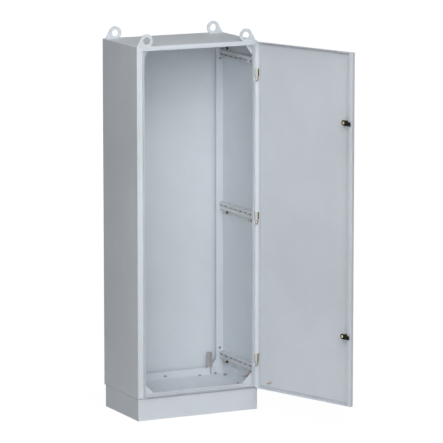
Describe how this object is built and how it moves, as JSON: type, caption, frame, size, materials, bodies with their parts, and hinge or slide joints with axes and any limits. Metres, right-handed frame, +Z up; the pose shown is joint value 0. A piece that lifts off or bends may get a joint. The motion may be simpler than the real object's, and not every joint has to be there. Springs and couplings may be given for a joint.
{
  "type": "floor-standing electrical enclosure",
  "caption": "Tall free-standing sheet-steel switch cabinet on a plinth, its overlay door hinged open on the right; slotted side rails, lifting eyes and quarter-turn cam locks.",
  "frame": {"origin": "floor level, on the cabinet's middle plane, in the vertical plane of the plinth's front face; the floor_rest point is on the plinth flange 5 mm behind it", "axes": "+Z up, +X to the right when facing the open front, +Y from the front towards the rear panel; the door is drawn open at rest, 109.7 degrees from closed"},
  "size_m": [0.797, 0.9428, 1.7551],
  "materials": {
    "cabinet_paint": "fine-textured light grey powder coat",
    "galvanised_rail": "pre-galvanised sheet, matt",
    "zinc_hardware": "zinc-plated, slightly yellow",
    "dark_steel": "phosphated steel",
    "copper_stud": "copper-plated weld stud",
    "black_diecast": "black coated die casting, satin",
    "brass_screw": "yellow-passivated screw head",
    "foam_seal": "foamed polyurethane strip"
  },
  "bodies": {
    "enclosure": {"front_frame": "cabinet_paint", "left_side_wall": "cabinet_paint", "right_side_wall": "cabinet_paint", "roof_panel": "cabinet_paint", "rear_frame": "cabinet_paint", "rear_panel": "cabinet_paint", "floor_plate": "cabinet_paint", "plinth": "cabinet_paint", "floor_earth_stud": "copper_stud", "wall_earth_stud": "copper_stud", "support_bracket_left": "galvanised_rail", "support_bracket_right": "galvanised_rail", "rail_end_plate_left": "galvanised_rail", "rail_end_plate_right": "galvanised_rail", "rear_panel_screw_lower_left": "zinc_hardware", "rear_panel_screw_lower_right": "zinc_hardware", "rear_panel_screw_upper_left": "zinc_hardware", "rear_panel_screw_upper_right": "zinc_hardware", "rear_panel_screw_bottom": "zinc_hardware", "rear_panel_screw_top": "zinc_hardware", "plinth_bolt_front_left": "dark_steel", "plinth_bolt_front_right": "dark_steel", "plinth_bolt_rear_left": "dark_steel", "plinth_bolt_rear_right": "dark_steel", "front_gusset_lower_left": "cabinet_paint", "front_gusset_lower_right": "cabinet_paint", "front_gusset_upper_left": "cabinet_paint", "front_gusset_upper_right": "cabinet_paint", "lifting_eye_front_left": "cabinet_paint", "lifting_eye_front_right": "cabinet_paint", "lifting_eye_rear_left": "cabinet_paint", "lifting_eye_rear_right": "cabinet_paint", "mounting_rail_lower_left": "galvanised_rail", "mounting_rail_lower_right": "galvanised_rail", "mounting_rail_middle_left": "galvanised_rail", "mounting_rail_middle_right": "galvanised_rail", "mounting_rail_upper_left": "galvanised_rail", "mounting_rail_upper_right": "galvanised_rail", "hinge_body_leaf_lower": "zinc_hardware", "hinge_body_leaf_middle": "zinc_hardware", "hinge_body_leaf_upper": "zinc_hardware", "hinge_pin_lower": "zinc_hardware", "hinge_pin_middle": "zinc_hardware", "hinge_pin_upper": "zinc_hardware"},
    "door": {"door_panel": "cabinet_paint", "door_gasket": "foam_seal", "door_earth_stud": "copper_stud", "hinge_door_leaf_lower": "zinc_hardware", "hinge_door_leaf_middle": "zinc_hardware", "hinge_door_leaf_upper": "zinc_hardware", "upper_lock_housing": "black_diecast", "upper_lock_nut": "zinc_hardware", "lower_lock_housing": "black_diecast", "lower_lock_nut": "zinc_hardware"},
    "upper_lock": {"upper_lock_core": "zinc_hardware", "upper_lock_cam": "black_diecast", "upper_cam_screw": "brass_screw"},
    "lower_lock": {"lower_lock_core": "zinc_hardware", "lower_lock_cam": "black_diecast", "lower_cam_screw": "brass_screw"}
  },
  "joints": [
    {"name": "door_swing", "type": "hinge", "parent": "enclosure", "child": "door", "pos_m": [0.289, -0.0125, 0.9], "axis": [0, 0, 1], "range_deg": [-109.7, 10.3]},
    {"name": "upper_lock_turn", "type": "hinge", "parent": "door", "child": "upper_lock", "pos_m": [0.48405, -0.52314, 1.382], "axis": [0.9415, 0.3371, 0], "range_deg": [0, 90]},
    {"name": "lower_lock_turn", "type": "hinge", "parent": "door", "child": "lower_lock", "pos_m": [0.48405, -0.52314, 0.421], "axis": [0.9415, 0.3371, 0], "range_deg": [0, 90]}
  ]
}
